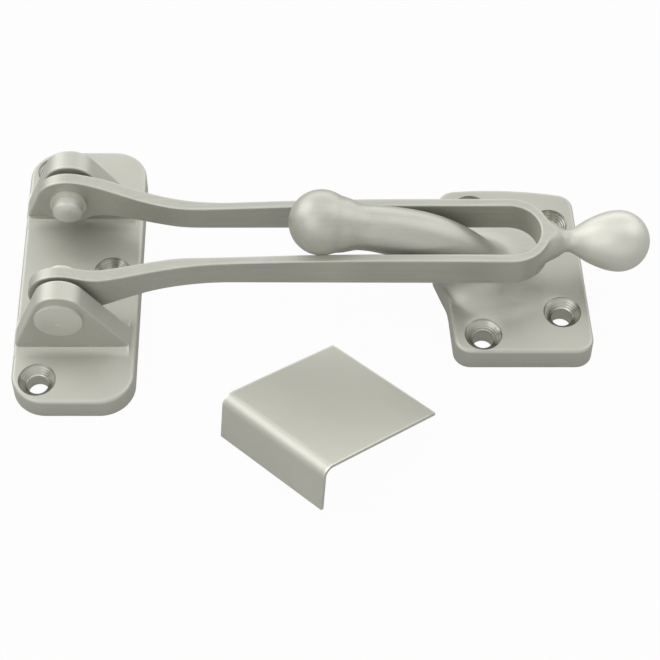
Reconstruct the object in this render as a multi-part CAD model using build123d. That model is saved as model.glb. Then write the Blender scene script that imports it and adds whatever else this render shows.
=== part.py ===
from build123d import *
from math import cos, radians, sin, sqrt, tan
import os

os.makedirs("parts", exist_ok=True)

# Millimetres. X runs along the bar towards the hook plate, Y to the back, Z up.
# The origin is the middle of the hinge plate's back face, and both plates lie on Z = 0.

# Screw holes, the same in both plates: a No. 10 screw with an 82 degree head
screw_r = 2.75
sink_r = 4.83
sink_half_angle = 41
sink_deep = (sink_r - screw_r) / tan(radians(sink_half_angle))

# Hinge plate
hinge_w = 31.75
hinge_l = 82.5
hinge_t = 6.3
hinge_corner_r = 9.0
edge_r = 1.0
screw_margin_x = 6.775
screw_margin_y = 7.05
side_screw_x = -(hinge_w / 2 - screw_margin_x)
side_screw_y = hinge_l / 2 - screw_margin_y
mid_screw_x = hinge_w / 2 - 7.475

# Lugs that stand on the hinge plate, mirrored about Y = 0
lug_t = 5.9
lug_out = side_screw_y - 10.1
lug_in = lug_out - lug_t
lug_nose_r = 6.7
lug_edge_r = 0.5
lug_tip_x = -4.0
lug_tip_z = 36.0
lug_left_slope = 0.396
lug_right_slope = 0.625
ledge_z = hinge_t + 0.75
ledge_out = lug_out + 0.5
ledge_in = lug_in - 1.0
cove_r = 4.5

# Pivot pins, washers and the eyes of the bar between them
pin_x = -3.0
pin_z = 19.0
pin_r = 3.175
pin_gap = 0.05
head_r = 6.2
head_rim = 0.9
head_dome = 0.7
peen_r = 3.85
peen_flat = 2.5
peen_dome = 1.4
washer_r = 4.83
washer_t = 1.1
eye_r = 8.3
eye_t = 3.4
eye_out = lug_in - 1.3
eye_in = eye_out - eye_t
washer_in = eye_in - washer_t

# Arms and loop of the swing bar
arm_in = 7.73
arm_t = 2.35
arm_out = arm_in + arm_t
loop_x = 113.2
loop_wall = 2.5
loop_in_r = arm_in + 0.07
loop_out_r = loop_in_r + loop_wall
arm_top_z = 24.4
loop_top_z = 24.9
arm_low_z = 15.4
bar_mid_z = (loop_top_z + arm_low_z) / 2
bar_edge_r = 0.35
bend_len = 32.5

# Neck and knob at the end of the loop
neck_r = 2.95
neck_x = loop_x + 14.4
knob_r = 8.05
knob_x = loop_x + 28.4

# Hook plate and hook, one casting. Seen from above the plate leans a little.
keeper_x = loop_x + 1.8
keeper_t = 7.15
keeper_corner_r = 4.5
front_y = -26.2
front_left = 16.1
front_right = 20.2
back_right = 16.9
back_right_y = 25.0
back_left = 19.6
back_left_y = 26.4
back_bow_x = 4.2
back_bow_y = 27.3
swell_x = 21.2
swell_y = 1.3
swell_front = 17.2
swell_front_y = -13.0
swell_back = 19.0
swell_back_y = 15.0
keeper_holes = ((-8.76, -20.57), (-10.73, 20.2), (12.21, -13.53), (10.36, 15.37))
ball_x = keeper_x - 50.9
ball_z = 28.1
ball_r = 8.55
waist_r = 5.95
waist_s = 11.7
hook_lean = 11.2

# Edge guard, folded from thin sheet
guard_t = 0.8
guard_w = 38.1
guard_l = 38.1
guard_lip = 12.7
guard_bend_r = 3.0
guard_x = 64.96
guard_y = -69.5
guard_turn = -46
guard_roll = -13.1
guard_tip = -17.7


def screw_hole(x, y, top):
    bore = Pos(x, y, top / 2) * Cylinder(screw_r, 2 * top)
    cone = Pos(x, y, top - sink_deep / 2) * Cone(screw_r, sink_r, sink_deep)
    return bore + cone


def dome(base_r, high):
    full_r = (base_r**2 + high**2) / (2 * high)
    return Pos(0, 0, high - full_r) * Sphere(full_r) & Pos(0, 0, high / 2) * Cylinder(base_r, high)


# Hinge plate: the flat plate with soft upper edges
plate = extrude(RectangleRounded(hinge_w, hinge_l, hinge_corner_r), hinge_t)
plate = fillet(plate.faces().sort_by(Axis.Z)[-1].edges(), edge_r)

# One lug: two straight flanks that a round nose joins, down to the sides of the plate
root_z = hinge_t / 2
flank_drop = lug_tip_z - root_z
lug_face = make_face(
    Polyline(
        (lug_tip_x - lug_left_slope * flank_drop, root_z),
        (lug_tip_x, lug_tip_z),
        (lug_tip_x + lug_right_slope * flank_drop, root_z),
        close=True,
    )
)
nose = lug_face.vertices().sort_by(Axis.Y)[-1]
lug_face = fillet(nose, lug_nose_r)
lug = Pos(0, -lug_in, 0) * extrude(Plane.XZ * lug_face, lug_t)
rims = lug.edges().filter_by(lambda e: e.length > 2 * lug_edge_r and abs((e @ 0).Y - (e @ 1).Y) < 0.01)
rims = rims.filter_by(lambda e: (e @ 0.5).Z > root_z + 1)
lug = fillet(rims, lug_edge_r)
lug &= Pos(0, 0, lug_tip_z / 2) * Box(hinge_w, hinge_l, lug_tip_z)

# The raised foot under the lug, with a hollow sweep down to the plate on both sides
cove_run = sqrt(cove_r**2 - (cove_r - (ledge_z - hinge_t)) ** 2)
cove_half = cove_run * 0.5
cove_mid_z = hinge_t + cove_r - sqrt(cove_r**2 - cove_half**2)
with BuildSketch(Plane.YZ) as foot_sketch:
    with BuildLine():
        Line((-ledge_out - cove_run, root_z), (-ledge_out - cove_run, hinge_t))
        ThreePointArc(
            (-ledge_out - cove_run, hinge_t),
            (-ledge_out - cove_half, cove_mid_z),
            (-ledge_out, ledge_z),
        )
        Line((-ledge_out, ledge_z), (-ledge_in, ledge_z))
        ThreePointArc(
            (-ledge_in, ledge_z),
            (-ledge_in + cove_half, cove_mid_z),
            (-ledge_in + cove_run, hinge_t),
        )
        Line((-ledge_in + cove_run, hinge_t), (-ledge_in + cove_run, root_z))
        Line((-ledge_in + cove_run, root_z), (-ledge_out - cove_run, root_z))
    make_face()
foot_right = lug_tip_x + lug_right_slope * (lug_tip_z - ledge_z)
foot_left = -hinge_w / 2 + 0.35 * edge_r
foot = Pos(foot_left, 0, 0) * extrude(foot_sketch.sketch, foot_right - foot_left)
lug += foot
lug -= Pos(pin_x, 0, pin_z) * Rot(90, 0, 0) * Cylinder(pin_r, 4 * lug_out)

hinge = plate + lug + mirror(lug, about=Plane.XZ)
for hole_x, hole_y in ((side_screw_x, -side_screw_y), (side_screw_x, side_screw_y), (mid_screw_x, 0)):
    hinge -= screw_hole(hole_x, hole_y, hinge_t)
export_step(hinge, "parts/hinge_plate.step")

# Pivot pin: a domed head outside the lug, and an end peened over the washer
head_end = lug_out + head_rim
peen_end = washer_in - peen_flat
pin = Pos(0, 0, (lug_out + washer_in) / 2) * Cylinder(pin_r, lug_out - washer_in)
pin += Pos(0, 0, lug_out + head_rim / 2) * Cylinder(head_r, head_rim)
pin += Pos(0, 0, head_end) * dome(head_r, head_dome)
pin += Pos(0, 0, washer_in - peen_flat / 2) * Cylinder(peen_r, peen_flat)
pin += Pos(0, 0, peen_end) * Rot(180, 0, 0) * dome(peen_r, peen_dome)
pin_front = Pos(pin_x, 0, pin_z) * Rot(90, 0, 0) * pin
export_step(pin_front, "parts/pivot_pin_front.step")
export_step(mirror(pin_front, about=Plane.XZ), "parts/pivot_pin_back.step")

# Washer between the peened end and the eye
ring = Cylinder(washer_r, washer_t) - Cylinder(pin_r, 2 * washer_t)
washer_front = Pos(pin_x, -(washer_in + eye_in) / 2, pin_z) * Rot(90, 0, 0) * ring
export_step(washer_front, "parts/washer_front.step")
export_step(mirror(washer_front, about=Plane.XZ), "parts/washer_back.step")

# Swing bar, seen from above: eyes, the long bend inwards, arms and loop
eye_back_x = pin_x - eye_r - 1
bend_x = pin_x + 4.5
in_step = eye_in - arm_in
out_step = eye_out - arm_out
inner = [
    (bend_x, eye_in),
    (bend_x + 0.23 * bend_len, eye_in - 0.19 * in_step),
    (bend_x + 0.46 * bend_len, eye_in - 0.57 * in_step),
    (bend_x + 0.69 * bend_len, eye_in - 0.88 * in_step),
    (bend_x + bend_len, arm_in),
]
outer = [
    (bend_x + 0.03 * bend_len, eye_out),
    (bend_x + 0.20 * bend_len, eye_out - 0.08 * out_step),
    (bend_x + 0.42 * bend_len, eye_out - 0.39 * out_step),
    (bend_x + 0.74 * bend_len, eye_out - 0.79 * out_step),
    (bend_x + 1.2 * bend_len, arm_out),
]
with BuildSketch() as plan:
    with BuildLine():
        Line((eye_back_x, eye_in), inner[0])
        Spline(*inner, tangents=[(1, 0), (1, 0)])
        Line(inner[-1], (loop_x, loop_in_r))
        Line((loop_x, loop_in_r), (loop_x, loop_out_r))
        Line((loop_x, loop_out_r), outer[-1])
        Spline(*reversed(outer), tangents=[(-1, 0), (-1, 0)])
        Line(outer[0], (eye_back_x, eye_out))
        Line((eye_back_x, eye_out), (eye_back_x, eye_in))
    make_face()
slab_z = pin_z - 2 * eye_r
arm = Pos(0, 0, slab_z) * extrude(plan.sketch, 4 * eye_r)
loop_disc = Pos(loop_x, 0, pin_z) * (Cylinder(loop_out_r, 4 * eye_r) - Cylinder(loop_in_r, 4 * eye_r))
front_half = Pos(loop_x + loop_out_r, 0, pin_z) * Box(2 * loop_out_r, 4 * loop_out_r, 4 * eye_r)
band = arm + mirror(arm, about=Plane.XZ) + (loop_disc & front_half)

# Side shape of the bar: the round eye, then an arm that deepens towards the loop
side_end = loop_x + loop_out_r + 2
with BuildSketch(Plane.XZ) as side:
    with BuildLine():
        Spline(
            (pin_x, pin_z + eye_r),
            (pin_x + 0.77 * eye_r, arm_top_z + 1.5),
            (pin_x + 1.69 * eye_r, arm_top_z),
            (0.5 * loop_x, arm_top_z),
            (loop_x, loop_top_z),
            (side_end, loop_top_z),
            tangents=[(1, 0), (1, 0)],
        )
        Line((side_end, loop_top_z), (side_end, arm_low_z))
        Line((side_end, arm_low_z), (pin_x + 4 * eye_r, arm_low_z))
        Spline(
            (pin_x + 4 * eye_r, arm_low_z),
            (pin_x + 2.7 * eye_r, arm_low_z),
            (pin_x + 1.9 * eye_r, arm_low_z - 0.5),
            (pin_x + 1.1 * eye_r, arm_low_z - 1.5),
            (pin_x + 0.62 * eye_r, pin_z - 0.78 * eye_r),
            tangents=[(-1, 0), (-0.78, -0.62)],
        )
        ThreePointArc(
            (pin_x + 0.62 * eye_r, pin_z - 0.78 * eye_r),
            (pin_x - eye_r, pin_z),
            (pin_x, pin_z + eye_r),
        )
    make_face()
profile = Pos(0, 2 * eye_out, 0) * extrude(side.sketch, 4 * eye_out)
bar = band & profile
long_edges = bar.edges().filter_by(lambda e: e.length > 4.0 and abs((e @ 0.5).Z - bar_mid_z) > 2.5)
bar = fillet(long_edges, bar_edge_r)

# Neck and knob: turned about the bar's long axis, and the neck spreads into the loop
flare_x = loop_x + 0.47 * loop_out_r
flare_r = 0.87 * loop_out_r
with BuildSketch(Plane.XY) as knob_sketch:
    with BuildLine():
        Line((flare_x, 0), (knob_x + knob_r, 0))
        ThreePointArc(
            (knob_x + knob_r, 0),
            (knob_x + knob_r * cos(radians(45)), knob_r * sin(radians(45))),
            (knob_x, knob_r),
        )
        Spline(
            (knob_x, knob_r),
            (knob_x - 0.77 * knob_r, 0.82 * knob_r),
            (neck_x + 1.49 * neck_r, 1.64 * neck_r),
            (neck_x, neck_r),
            (neck_x - 0.71 * neck_r, 1.46 * neck_r),
            (neck_x - 1.12 * neck_r, 1.66 * neck_r),
            (flare_x, flare_r),
            tangents=[(-1, 0), (-1, 0.55)],
        )
        Line((flare_x, flare_r), (flare_x, 0))
    make_face()
knob = Pos(0, 0, bar_mid_z) * revolve(knob_sketch.sketch, Axis.X)
bar_high = loop_top_z - arm_low_z
keep_box = Box(4 * loop_out_r, 3 * loop_out_r, bar_high - 0.02)
keep_box = Pos(flare_x + 2 * loop_out_r, 0, bar_mid_z) * keep_box
end_box = Box(2 * (knob_x + 2 * knob_r - neck_x), 4 * knob_r, 4 * knob_r)
end_box = Pos(knob_x + 2 * knob_r, 0, bar_mid_z) * end_box
spread = knob & keep_box
crests = spread.edges().filter_by(
    lambda e: abs(abs((e @ 0.5).Z - bar_mid_z) - bar_high / 2) < 0.05 and (e @ 0.5).X > flare_x + 0.5
)
spread = fillet(crests, 1.6)
knob = spread + (knob & end_box)
knob -= Pos(loop_x, 0, bar_mid_z) * Cylinder((loop_in_r + loop_out_r) / 2, 4 * eye_r)
bar += knob
bar -= Pos(pin_x, 0, pin_z) * Rot(90, 0, 0) * Cylinder(pin_r + pin_gap, 4 * eye_out)
export_step(bar, "parts/swing_bar.step")

# Hook plate, seen from above: it leans a little, and its left edge swells at the root of the hook
with BuildSketch() as base_sketch:
    with BuildLine():
        Line((keeper_x - front_left, front_y), (keeper_x + front_right, front_y))
        Line((keeper_x + front_right, front_y), (keeper_x + back_right, back_right_y))
        ThreePointArc(
            (keeper_x + back_right, back_right_y),
            (keeper_x - back_bow_x, back_bow_y),
            (keeper_x - back_left, back_left_y),
        )
        Line((keeper_x - back_left, back_left_y), (keeper_x - swell_back, swell_back_y))
        Spline(
            (keeper_x - swell_back, swell_back_y),
            (keeper_x - 0.90 * swell_x, 0.64 * swell_back_y),
            (keeper_x - 0.96 * swell_x, 0.29 * swell_back_y),
            (keeper_x - swell_x, swell_y),
            (keeper_x - 0.96 * swell_x, 0.15 * swell_front_y),
            (keeper_x - 0.88 * swell_x, 0.50 * swell_front_y),
            (keeper_x - swell_front, swell_front_y),
            tangents=[(0.05, -1), (0.07, -1)],
        )
        Line((keeper_x - swell_front, swell_front_y), (keeper_x - front_left, front_y))
    make_face()
    corners = vertices().filter_by(lambda v: abs(v.Y) > 0.75 * back_bow_y)
    fillet(corners, keeper_corner_r)
keeper = extrude(base_sketch.sketch, keeper_t)
top_edges = keeper.faces().sort_by(Axis.Z)[-1].edges()
keeper = fillet(top_edges, edge_r)

# Hook: a root that spreads over the plate, a shank that thins and leans over, a waist and a ball
flare_rings = []
for ring_z, ring_x, along, across in (
    (keeper_t - 0.5, -2.2, 16.4, 19.0),
    (keeper_t + 0.05, -4.4, 14.6, 16.0),
    (keeper_t + 0.7, -7.3, 12.7, 12.9),
    (keeper_t + 1.9, -9.8, 11.1, 9.9),
    (keeper_t + 4.0, -11.6, 9.9, 7.9),
    (keeper_t + 6.6, -13.3, 9.0, 7.2),
):
    flare_rings.append(Plane((keeper_x + ring_x, 0, ring_z)) * Ellipse(along, across))
flare = loft(flare_rings)
lean_dir = (cos(radians(hook_lean)), 0, -sin(radians(hook_lean)))
waist_x = ball_x + waist_s * lean_dir[0]
waist_z = ball_z + waist_s * lean_dir[2]
waist_plane = Plane((waist_x, 0, waist_z), x_dir=(-lean_dir[2], 0, lean_dir[0]), z_dir=lean_dir)
shank_rings = [waist_plane * Circle(waist_r)]
for ring_x, ring_z, up_x, up_z, along, across in (
    (-33.5, 24.6, 0.24, 0.97, 6.4, 6.25),
    (-27.5, 22.5, 0.36, 0.93, 7.0, 6.6),
    (-22.2, 19.6, 0.52, 0.85, 7.7, 6.85),
    (-17.8, 15.9, 0.66, 0.75, 8.4, 7.0),
    (-14.3, 11.7, 0.79, 0.61, 9.2, 7.3),
    (-11.8, 7.4, 0.89, 0.46, 10.2, 7.9),
    (-10.2, 4.0, 0.95, 0.31, 11.0, 8.9),
):
    ring_plane = Plane((keeper_x + ring_x, 0, ring_z), x_dir=(up_x, 0, up_z), z_dir=(up_z, 0, -up_x))
    shank_rings.append(ring_plane * Ellipse(along, across))
shank = loft(shank_rings)
shank &= Pos(keeper_x, 0, ball_z) * Box(12 * ball_r, 4 * ball_r, 2 * ball_z)
blend_s = 0.42 * ball_r
blend_r = sqrt(ball_r**2 - blend_s**2)
with BuildSketch(Plane.XY) as ball_sketch:
    with BuildLine():
        Line((-ball_r, 0), (waist_s, 0))
        Line((waist_s, 0), (waist_s, waist_r))
        Spline(
            (waist_s, waist_r),
            (0.79 * waist_s, waist_r + 0.14 * (blend_r - waist_r)),
            (0.55 * waist_s, waist_r + 0.62 * (blend_r - waist_r)),
            (blend_s, blend_r),
            tangents=[(-1, 0), (-1, blend_s / blend_r)],
        )
        ThreePointArc(
            (blend_s, blend_r),
            (-ball_r * sin(radians(20)), ball_r * cos(radians(20))),
            (-ball_r, 0),
        )
    make_face()
ball = Pos(ball_x, 0, ball_z) * Rot(0, hook_lean, 0) * revolve(ball_sketch.sketch, Axis.X)
keeper = keeper + (flare + shank + ball)
for hole_x, hole_y in keeper_holes:
    keeper -= screw_hole(keeper_x + hole_x, hole_y, keeper_t)
export_step(keeper, "parts/hook_plate.step")

# Edge guard: a leaf and a short lip, folded along one edge
fold = make_face(
    Polyline(
        (0, 0),
        (guard_l, 0),
        (guard_l, -guard_t),
        (guard_t, -guard_t),
        (guard_t, -guard_lip),
        (0, -guard_lip),
        close=True,
    )
)
fold = fillet(fold.vertices().sort_by_distance((0, 0))[0], guard_bend_r)
fold = fillet(fold.vertices().sort_by_distance((guard_t, -guard_t))[0], guard_bend_r - guard_t)
guard = extrude(Plane.YZ * fold, -guard_w)
guard = Rot(0, 0, guard_turn) * Rot(0, guard_roll, 0) * Rot(guard_tip, 0, 0) * guard
guard = Pos(guard_x, guard_y, 0) * guard
guard = Pos(0, 0, -guard.bounding_box().min.Z) * guard
export_step(guard, "parts/edge_guard.step")
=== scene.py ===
import math

import bpy
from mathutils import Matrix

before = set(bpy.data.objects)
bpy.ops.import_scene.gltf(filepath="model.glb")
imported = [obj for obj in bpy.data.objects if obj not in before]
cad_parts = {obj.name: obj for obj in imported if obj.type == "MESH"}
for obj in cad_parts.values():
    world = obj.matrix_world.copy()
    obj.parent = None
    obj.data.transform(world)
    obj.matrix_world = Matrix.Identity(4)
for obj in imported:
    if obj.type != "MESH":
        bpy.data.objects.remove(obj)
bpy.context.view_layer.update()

# Hinge plate: one brass casting with two lugs, linished, nickel plated and then brushed dull.
# The wide faces are even and soft. The walls keep level strokes, and the nose of each lug keeps
# strokes across it. The screw sinks weren't brushed, so they are glossier and keep the cutter's rings.
MM = 0.001


def linear(hex_colour):
    """An sRGB colour written as hex, as the linear values that the shaders take."""
    parts = [int(hex_colour[i : i + 2], 16) / 255 for i in (1, 3, 5)]
    return [p / 12.92 if p <= 0.04045 else ((p + 0.055) / 1.055) ** 2.4 for p in parts] + [1.0]


def node(tree, kind, inputs=None, **settings):
    """Adds one shader node, sets its options, and fills or links its inputs."""
    made = tree.nodes.new(kind)
    for key, value in settings.items():
        setattr(made, key, value)
    for key, value in (inputs or {}).items():
        if isinstance(value, bpy.types.NodeSocket):
            tree.links.new(value, made.inputs[key])
        else:
            made.inputs[key].default_value = value
    return made


def strokes(tree, place, axis, axis_mm, other_mm):
    """Brush strokes: noise on coordinates divided by axis_mm on one axis and by other_mm on the
    other two. A long axis_mm draws the strokes out along the axis, and a short one lays them level
    across it."""
    shrink = [1 / (other_mm * MM)] * 3
    shrink["XYZ".index(axis)] = 1 / (axis_mm * MM)
    drawn_out = node(tree, "ShaderNodeVectorMath", {0: place, 1: shrink}, operation="MULTIPLY").outputs[0]
    texture = {"Vector": drawn_out, "Scale": 1.0, "Detail": NOISE_DETAIL}
    return node(tree, "ShaderNodeTexNoise", texture).outputs[0]


def nearest_axis(tree, place, axes):
    """The distance in X and Y to the nearest of these upright axes, each given as (x, y) in mm."""
    nearest = None
    for x, y in axes:
        away = node(tree, "ShaderNodeVectorMath", {0: place, 1: (x * MM, y * MM, 0)}, operation="SUBTRACT")
        flat = node(tree, "ShaderNodeVectorMath", {0: away.outputs[0], 1: (1, 1, 0)}, operation="MULTIPLY")
        radius = node(tree, "ShaderNodeVectorMath", {0: flat.outputs[0]}, operation="LENGTH").outputs["Value"]
        if nearest is None:
            nearest = radius
        else:
            nearest = node(tree, "ShaderNodeMath", {0: nearest, 1: radius}, operation="MINIMUM").outputs[0]
    return nearest


def upper_edge_rubbing_and_highlight(tree, own, edge_rubbing_and_highlight):
    """The share on edges of faces that look up, at most edge_rubbing_and_highlight, where the colour gets a
    painted highlight and the roughness is made smoother, as by rubbing.
    An edge is where part of the rays that go from the face into the metal leave it again within EDGE_REACH."""
    stay_in = node(
        tree, "ShaderNodeAmbientOcclusion", {"Distance": EDGE_REACH * MM}, samples=8, inside=True
    ).outputs["AO"]
    edge = node(
        tree, "ShaderNodeMapRange", {"Value": stay_in, "From Min": EDGE_NONE, "From Max": EDGE_FULL}
    ).outputs[0]
    upward = node(tree, "ShaderNodeSeparateXYZ", {0: own}).outputs["Z"]
    looks_up = node(
        tree,
        "ShaderNodeMapRange",
        {"Value": upward, "From Min": UP_NONE, "From Max": UP_FULL, "To Max": edge_rubbing_and_highlight},
    ).outputs[0]
    return node(tree, "ShaderNodeMath", {0: edge, 1: looks_up}, operation="MULTIPLY").outputs[0]


def satin_nickel(name, dark, light, dull, grain, streak, metal, sinks=(), rubbed_and_highlight=None, root=None, edge_rubbing_and_highlight=1.0):
    """Brushed nickel plate. grain is a function that draws the strokes for this piece. The strokes
    move the colour by a small share (streak) and the roughness by DULL_SWING around dull, and leave
    a shallow relief. By the share edge_rubbing_and_highlight the upper edges are made smoother, as by
    rubbing, and get a painted highlight, a lighter colour; so is the part that the function
    rubbed_and_highlight marks. Each screw sink, given by its axis (x, y), is glossier and has rings in
    place of strokes, with painted shade that darkens its rim and painted light that lightens its bore.
    root is a function that marks where a form runs out softly, and the reach in mm of that blend."""
    material = bpy.data.materials.new(name)
    material.use_nodes = True
    tree = material.node_tree
    tree.nodes.clear()
    place = node(tree, "ShaderNodeTexCoord").outputs["Object"]
    cloud_texture = {"Vector": place, "Scale": 1 / (CLOUD_SIZE * MM), "Detail": NOISE_DETAIL}
    cloud = node(tree, "ShaderNodeTexNoise", cloud_texture).outputs[0]
    tone = node(
        tree, "ShaderNodeMix", {0: cloud, 6: linear(dark), 7: linear(light)}, data_type="RGBA"
    ).outputs[2]
    brushed = grain(tree, place)
    noise_span = {"Value": brushed, "From Min": NOISE_LOW, "From Max": NOISE_HIGH}
    shade = node(
        tree, "ShaderNodeMapRange", {**noise_span, "To Min": 1 - streak, "To Max": 1 + streak}
    ).outputs[0]
    colour = node(tree, "ShaderNodeVectorMath", {0: tone, 3: shade}, operation="SCALE").outputs[0]
    rough = node(
        tree, "ShaderNodeMapRange", {**noise_span, "To Min": dull - DULL_SWING, "To Max": dull + DULL_SWING}
    ).outputs[0]
    own = node(tree, "ShaderNodeNewGeometry").outputs["Normal"]
    # Painted highlight on upper edges: this share lightens the colour, and makes the roughness smoother as by
    # rubbing
    rubbing_and_highlight = upper_edge_rubbing_and_highlight(tree, own, edge_rubbing_and_highlight)
    relief = brushed
    if sinks:
        radius = nearest_axis(tree, place, sinks)
        inside = node(
            tree, "ShaderNodeMath", {0: radius, 1: SINK_RADIUS * MM}, operation="LESS_THAN"
        ).outputs[0]
        turns = node(
            tree, "ShaderNodeMath", {0: radius, 1: 2 * math.pi / (RING_PITCH * MM)}, operation="MULTIPLY"
        ).outputs[0]
        rings = node(tree, "ShaderNodeMath", {0: turns}, operation="SINE").outputs[0]
        relief = node(tree, "ShaderNodeMix", {0: inside, 2: brushed, 3: rings}, data_type="FLOAT").outputs[0]
        rough = node(tree, "ShaderNodeMix", {0: inside, 2: rough, 3: SINK_DULL}, data_type="FLOAT").outputs[0]
        metal = node(
            tree, "ShaderNodeMix", {0: inside, 2: metal, 3: SINK_METAL}, data_type="FLOAT"
        ).outputs[0]
        # Painted light and shade in the sinks: the bore is made lighter and the rim darker
        bore_painted_light = node(
            tree,
            "ShaderNodeMapRange",
            {
                "Value": radius,
                "From Min": CONE_START * MM,
                "From Max": BORE_END * MM,
                "To Min": 1.0,
                "To Max": BORE_PAINTED_LIGHT,
            },
        ).outputs[0]
        rim_painted_shade = node(
            tree,
            "ShaderNodeMapRange",
            {
                "Value": radius,
                "From Min": RIM_START * MM,
                "From Max": SINK_RADIUS * MM,
                "To Min": 1.0,
                "To Max": RIM_PAINTED_SHADE,
            },
        ).outputs[0]
        sink_painted_light_and_shade = node(tree, "ShaderNodeMath", {0: bore_painted_light, 1: rim_painted_shade}, operation="MULTIPLY").outputs[0]
        share = node(tree, "ShaderNodeMix", {0: inside, 2: 1.0, 3: sink_painted_light_and_shade}, data_type="FLOAT").outputs[0]
        colour = node(tree, "ShaderNodeVectorMath", {0: colour, 3: share}, operation="SCALE").outputs[0]
        outside = node(
            tree, "ShaderNodeMath", {0: radius, 1: (SINK_RADIUS + EDGE_REACH) * MM}, operation="GREATER_THAN"
        ).outputs[0]
        rubbing_and_highlight = node(tree, "ShaderNodeMath", {0: rubbing_and_highlight, 1: outside}, operation="MULTIPLY").outputs[0]
    if rubbed_and_highlight:
        rubbing_and_highlight = node(tree, "ShaderNodeMath", {0: rubbing_and_highlight, 1: rubbed_and_highlight(tree, place)}, operation="MAXIMUM").outputs[0]
    # Painted highlight: where marked, the colour is mixed towards a lighter one, and the roughness below is
    # made smoother
    colour = node(tree, "ShaderNodeMix", {0: rubbing_and_highlight, 6: colour, 7: linear(PAINTED_HIGHLIGHT)}, data_type="RGBA").outputs[2]
    rough = node(tree, "ShaderNodeMix", {0: rubbing_and_highlight, 2: rough, 3: RUBBED_DULL}, data_type="FLOAT").outputs[0]
    bump = node(tree, "ShaderNodeBump", {"Height": relief, "Strength": RELIEF, "Distance": RELIEF_DEEP * MM})
    if root:
        where, reach = root
        blended = node(tree, "ShaderNodeBevel", {"Radius": reach * MM}, samples=16).outputs[0]
        mixed = node(
            tree, "ShaderNodeMix", {0: where(tree, place), 4: own, 5: blended}, data_type="VECTOR"
        ).outputs[1]
        tree.links.new(mixed, bump.inputs["Normal"])
    metal_face = node(
        tree,
        "ShaderNodeBsdfPrincipled",
        {"Base Color": colour, "Metallic": metal, "Roughness": rough, "Normal": bump.outputs[0]},
    )
    node(tree, "ShaderNodeOutputMaterial", {"Surface": metal_face.outputs[0]})
    return material


def dress(name, material):
    """The CAD node gets this material in place of its plain one."""
    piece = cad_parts[name]
    piece.data.materials.clear()
    piece.data.materials.append(material)


# Real strokes of a brushing wheel are about 0.05 mm wide. They are drawn 0.4 mm wide, to show.
STROKE_LONG = 14
STROKE_FINE = 0.4
CLOUD_SIZE = 14
NOISE_DETAIL = 2.0
# Nearly all of a noise lies between these two values
NOISE_LOW = 0.3
NOISE_HIGH = 0.7
DULL_SWING = 0.05
RELIEF = 0.5
RELIEF_DEEP = 0.02
# Shares of rays that stay in the metal at no edge and at a full edge, and the same for the Z of the
# face's normal at no upper face and at a full one
EDGE_REACH = 0.8
EDGE_NONE = 0.92
EDGE_FULL = 0.68
UP_NONE = 0.3
UP_FULL = 0.8
# The lighter colour of the painted highlight on upper edges and the knob, and the smoother roughness there
PAINTED_HIGHLIGHT = "#DEDED4"
RUBBED_DULL = 0.37
# A sink's bore, its cone and its rim, by their radius, and the shares of colour for the painted light that
# lightens the bore and the painted shade that darkens the rim
BORE_END = 2.8
CONE_START = 3.2
RIM_START = 4.4
SINK_RADIUS = 4.9
BORE_PAINTED_LIGHT = 1.45
RIM_PAINTED_SHADE = 0.45
SINK_DULL = 0.24
SINK_METAL = 1.0
# The cutter's rings are about 0.2 mm apart on the real one, and are drawn wider, to show.
RING_PITCH = 0.45
PLATE_TOP = 6.6
PLATE_DULL = 0.45
# Polished nickel would be 1. The photo's faces are flat and matt, and this share is matched to them.
PLATE_METAL = 0.6
HINGE_SINKS = ((-9.1, -34.2), (-9.1, 34.2), (8.4, 0.0))


def hinge_plate_strokes(tree, place):
    """Strokes that lie level on the plate's walls, and across the nose of each lug above it."""
    level = strokes(tree, place, "Z", STROKE_FINE, STROKE_LONG)
    across = strokes(tree, place, "Y", STROKE_LONG, STROKE_FINE)
    height = node(tree, "ShaderNodeSeparateXYZ", {0: place}).outputs["Z"]
    on_lug = node(tree, "ShaderNodeMath", {0: height, 1: PLATE_TOP * MM}, operation="GREATER_THAN").outputs[0]
    return node(tree, "ShaderNodeMix", {0: on_lug, 2: level, 3: across}, data_type="FLOAT").outputs[0]


dress(
    "hinge_plate",
    satin_nickel(
        "hinge_plate_satin_nickel",
        "#B9B9AF",
        "#BFBFB5",
        PLATE_DULL,
        hinge_plate_strokes,
        streak=0.035,
        metal=PLATE_METAL,
        sinks=HINGE_SINKS,
    ),
)

# Pivot pins and their washers: turned brass with the same plate, but not brushed, so they are a
# little lighter than the castings. Each pin's inner end is peened over its washer.
PIN_DULL = 0.45
PIN_RING = 0.7
PIN_FAINT = 0.12
PIN_AXIS = (-3.0, 0.0, 19.0)
NOISE_MEAN = 0.5


def pin_turning(tree, place):
    """Faint rings round the pin's own axis, from the distance to it in X and Z."""
    axis = [part * MM for part in PIN_AXIS]
    away = node(tree, "ShaderNodeVectorMath", {0: place, 1: axis}, operation="SUBTRACT")
    flat = node(tree, "ShaderNodeVectorMath", {0: away.outputs[0], 1: (1, 0, 1)}, operation="MULTIPLY")
    radius = node(tree, "ShaderNodeVectorMath", {0: flat.outputs[0]}, operation="LENGTH").outputs["Value"]
    turns = node(tree, "ShaderNodeMath", {0: radius, 1: 1 / (PIN_RING * MM)}, operation="MULTIPLY").outputs[0]
    texture = {"W": turns, "Scale": 1.0, "Detail": NOISE_DETAIL}
    rings = node(tree, "ShaderNodeTexNoise", texture, noise_dimensions="1D").outputs[0]
    return node(tree, "ShaderNodeMix", {0: PIN_FAINT, 2: NOISE_MEAN, 3: rings}, data_type="FLOAT").outputs[0]


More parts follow.
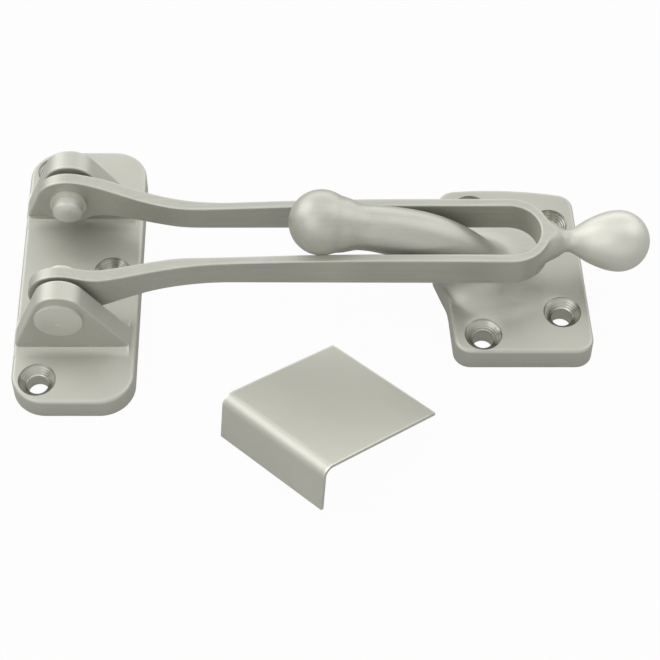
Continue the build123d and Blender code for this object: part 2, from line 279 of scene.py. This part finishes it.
pin_nickel = satin_nickel(
    "pin_turned_nickel", "#CFCFC6", "#D5D5CC", PIN_DULL, pin_turning, streak=0.01, metal=PLATE_METAL
)
for end in ("front", "back"):
    dress("pivot_pin_" + end, pin_nickel)
    dress("washer_" + end, pin_nickel)

# Swing bar: one brass forging, with two eyes, two arms, the loop and a knob. The arms were drawn
# along a brushing wheel, so their strokes run the long way. The knob is smoother where the polishing
# wheel and hands rub it, and is made lighter by a painted highlight.
BAR_DULL = 0.43
# The share of painted highlight and smoothing on the bar's upper edges
BAR_EDGE_RUBBING_AND_HIGHLIGHT = 0.5
NECK_START = 120.0
NECK_RUN = 2.0
NECK_BLEND = 1.6
KNOB_START = 126.0
KNOB_END = 134.0
# The share of painted highlight and smoothing on the knob
KNOB_RUBBED_AND_HIGHLIGHT = 0.6


def knob_share(tree, place, full=1.0):
    """0 on the arms and the loop, rising along X over the neck to a full share on the knob."""
    reach = node(tree, "ShaderNodeSeparateXYZ", {0: place}).outputs["X"]
    return node(
        tree,
        "ShaderNodeMapRange",
        {"Value": reach, "From Min": KNOB_START * MM, "From Max": KNOB_END * MM, "To Max": full},
    ).outputs[0]


def bar_strokes(tree, place):
    """Long strokes along X that fade out from the neck to the knob."""
    along = strokes(tree, place, "X", STROKE_LONG, STROKE_FINE)
    on_knob = knob_share(tree, place)
    return node(tree, "ShaderNodeMix", {0: on_knob, 2: along, 3: NOISE_MEAN}, data_type="FLOAT").outputs[0]


def neck_share(tree, place):
    """0 on the arms, rising over NECK_RUN to 1 where the loop spreads into the neck and beyond."""
    reach = node(tree, "ShaderNodeSeparateXYZ", {0: place}).outputs["X"]
    return node(
        tree,
        "ShaderNodeMapRange",
        {"Value": reach, "From Min": NECK_START * MM, "From Max": (NECK_START + NECK_RUN) * MM},
    ).outputs[0]


def knob_rubbed_and_highlight(tree, place):
    """The knob gets a good deal of painted highlight and smoothing from rubbing, though less than the sharp
    edges of the plates.
    """
    return knob_share(tree, place, KNOB_RUBBED_AND_HIGHLIGHT)


dress(
    "swing_bar",
    satin_nickel(
        "swing_bar_satin_nickel",
        "#B0B0A6",
        "#B8B8AE",
        BAR_DULL,
        bar_strokes,
        streak=0.06,
        metal=PLATE_METAL,
        rubbed_and_highlight=knob_rubbed_and_highlight,
        root=(neck_share, NECK_BLEND),
        edge_rubbing_and_highlight=BAR_EDGE_RUBBING_AND_HIGHLIGHT,
    ),
)

# Hook plate: plate, root, shank and ball are one brass casting with the same plate and brushing as
# the hinge plate. Faint strokes follow the shank, and the four screw sinks are cut like the others.
HOOK_SINKS = ((106.24, -20.57), (104.27, 20.2), (127.21, -13.53), (125.36, 15.37))
HOOK_PLATE_TOP = 7.3
HOOK_DULL = 0.39
HOOK_STROKE_FINE = 0.8
ROOT_BLEND = 3.5
# The root's middle, what its distances are multiplied by on each axis, and the distances at which
# it has its full share and none
ROOT_MIDDLE = (111.0, 0.0, 7.2)
ROOT_SQUASH = (1.0, 0.9, 3.0)
ROOT_FULL = 16.5
ROOT_NONE = 20.0


def root_share(tree, place):
    """1 where the root of the hook runs out into the plate, from the distance to the root's middle,
    and 0 towards the plate's walls and screw sinks."""
    middle = [part * MM for part in ROOT_MIDDLE]
    away = node(tree, "ShaderNodeVectorMath", {0: place, 1: middle}, operation="SUBTRACT")
    squashed = node(tree, "ShaderNodeVectorMath", {0: away.outputs[0], 1: ROOT_SQUASH}, operation="MULTIPLY")
    reach = node(tree, "ShaderNodeVectorMath", {0: squashed.outputs[0]}, operation="LENGTH").outputs["Value"]
    return node(
        tree, "ShaderNodeMapRange", {"Value": reach, "From Min": ROOT_NONE * MM, "From Max": ROOT_FULL * MM}
    ).outputs[0]


def hook_strokes(tree, place):
    """Strokes that lie level on the plate's walls, and run along X on the shank and the ball."""
    level = strokes(tree, place, "Z", STROKE_FINE, STROKE_LONG)
    along = strokes(tree, place, "X", STROKE_LONG, HOOK_STROKE_FINE)
    height = node(tree, "ShaderNodeSeparateXYZ", {0: place}).outputs["Z"]
    on_hook = node(
        tree, "ShaderNodeMath", {0: height, 1: HOOK_PLATE_TOP * MM}, operation="GREATER_THAN"
    ).outputs[0]
    return node(tree, "ShaderNodeMix", {0: on_hook, 2: level, 3: along}, data_type="FLOAT").outputs[0]


dress(
    "hook_plate",
    satin_nickel(
        "hook_plate_satin_nickel",
        "#B5B5AB",
        "#BBBBB1",
        HOOK_DULL,
        hook_strokes,
        streak=0.03,
        metal=PLATE_METAL,
        sinks=HOOK_SINKS,
        root=(root_share, ROOT_BLEND),
    ),
)

# Edge guard: a leaf and a short lip, folded from one thin strip of rolled brass and plated. The
# strip's rolling strokes run along the fold. It lies loose beside the set, as it is packed.
GUARD_DULL = 0.48
GUARD_METAL = 0.75
GUARD_TURN = -46


def guard_strokes(tree, place):
    """Long strokes along the fold: the place is first turned so that X runs along it."""
    turned = node(
        tree,
        "ShaderNodeVectorRotate",
        {"Vector": place, "Angle": math.radians(-GUARD_TURN)},
        rotation_type="Z_AXIS",
    ).outputs[0]
    return strokes(tree, turned, "X", STROKE_LONG, STROKE_FINE)


guard_nickel = satin_nickel(
    "edge_guard_satin_nickel", "#C2C2B8", "#C8C8BE", GUARD_DULL, guard_strokes, streak=0.02, metal=GUARD_METAL
)
dress("edge_guard", guard_nickel)

# Floor: pale paper. The camera sees it nearly white, with a faint shadow, and the metal sees a
# part of that white, as it would see a sheet of paper that is lit from above.
PAPER = "#ACACAA"
CAMERA_WHITE = 0.97
METAL_WHITE = 0.15
FLOOR_HALF = 3
WHITE = (1, 1, 1, 1)
corners = [(x * FLOOR_HALF, y * FLOOR_HALF, 0) for x, y in ((-1, -1), (1, -1), (1, 1), (-1, 1))]
floor_mesh = bpy.data.meshes.new("floor")
floor_mesh.from_pydata(corners, [], [(0, 1, 2, 3)])
floor = bpy.data.objects.new("floor", floor_mesh)
bpy.context.scene.collection.objects.link(floor)
paper = bpy.data.materials.new("floor_paper")
paper.use_nodes = True
tree = paper.node_tree
tree.nodes.clear()
path = node(tree, "ShaderNodeLightPath")
matt = node(tree, "ShaderNodeBsdfDiffuse", {"Color": linear(PAPER)})
white = node(tree, "ShaderNodeEmission", {"Color": WHITE, "Strength": 1.0})
for_camera = node(
    tree, "ShaderNodeMath", {0: path.outputs["Is Camera Ray"], 1: CAMERA_WHITE}, operation="MULTIPLY"
)
for_metal = node(
    tree, "ShaderNodeMath", {0: path.outputs["Is Glossy Ray"], 1: METAL_WHITE}, operation="MULTIPLY"
)
share = node(tree, "ShaderNodeMath", {0: for_camera.outputs[0], 1: for_metal.outputs[0]}, operation="ADD")
shown = node(tree, "ShaderNodeMixShader", {0: share.outputs[0], 1: matt.outputs[0], 2: white.outputs[0]})
node(tree, "ShaderNodeOutputMaterial", {"Surface": shown.outputs[0]})
floor.data.materials.append(paper)

# Studio air: even all round, a little lighter in front, and brightest low down behind the object
AIR_ROUND = 0.60
AIR_FRONT = 0.33
AIR_BACK = 0.10
AIR_BACK_LOW = 1.38
world = bpy.data.worlds.new("studio")
bpy.context.scene.world = world
world.use_nodes = True
tree = world.node_tree
tree.nodes.clear()
ray = node(tree, "ShaderNodeTexCoord")
toward = node(tree, "ShaderNodeSeparateXYZ", {0: ray.outputs["Generated"]})
behind = node(tree, "ShaderNodeMath", {0: toward.outputs["Y"], 1: 0.0}, operation="MAXIMUM").outputs[0]
before = node(tree, "ShaderNodeMath", {0: toward.outputs["Y"], 1: 0.0}, operation="MINIMUM").outputs[0]
low_share = node(
    tree,
    "ShaderNodeMapRange",
    {"Value": toward.outputs["Z"], "To Min": AIR_BACK + AIR_BACK_LOW, "To Max": AIR_BACK},
).outputs[0]
back_light = node(tree, "ShaderNodeMath", {0: behind, 1: low_share}, operation="MULTIPLY").outputs[0]
front_light = node(
    tree, "ShaderNodeMath", {0: before, 1: -AIR_FRONT, 2: AIR_ROUND}, operation="MULTIPLY_ADD"
).outputs[0]
strength = node(tree, "ShaderNodeMath", {0: back_light, 1: front_light}, operation="ADD").outputs[0]
air = node(tree, "ShaderNodeBackground", {"Color": WHITE, "Strength": strength})
node(tree, "ShaderNodeOutputWorld", {"Surface": air.outputs[0]})

# Softboxes at the left, the right, the front left and overhead, all aimed at the object's middle
MIDDLE_X = 0.07
MIDDLE_Z = 0.02
for label, spot, size, power in (
    ("softbox_left", (-0.70, 0.40, 0.62), 0.90, 2.5),
    ("softbox_right", (0.75, 0.25, 0.75), 0.85, 1.5),
    ("softbox_front_left", (-0.50, -0.40, 0.70), 0.90, 1.5),
    ("softbox_overhead", (0.07, 0.18, 1.00), 0.90, 1.2),
):
    lamp = bpy.data.lights.new(label, "AREA")
    lamp.shape = "DISK"
    lamp.size = size
    lamp.energy = power
    lamp_object = bpy.data.objects.new(label, lamp)
    bpy.context.scene.collection.objects.link(lamp_object)
    lamp_object.location = spot
    aim_x, aim_y, aim_z = spot[0] - MIDDLE_X, spot[1], spot[2] - MIDDLE_Z
    tilt = math.atan2(math.hypot(aim_x, aim_y), aim_z)
    lamp_object.rotation_euler = (tilt, 0, math.atan2(aim_x, -aim_y))

# Camera at the photo's view: square to the bar, and looking down on it at this angle
LOOK_DOWN = 55.5
camera = bpy.data.cameras.new("camera")
camera.lens = 116.7
camera.sensor_width = 36
camera_object = bpy.data.objects.new("camera", camera)
camera_object.location = (66.28 * MM, -335.25 * MM, 466.89 * MM)
camera_object.rotation_euler = (math.radians(90 - LOOK_DOWN), 0, 0)
bpy.context.scene.collection.objects.link(camera_object)
bpy.context.scene.camera = camera_object
bpy.context.scene.view_settings.view_transform = "Standard"
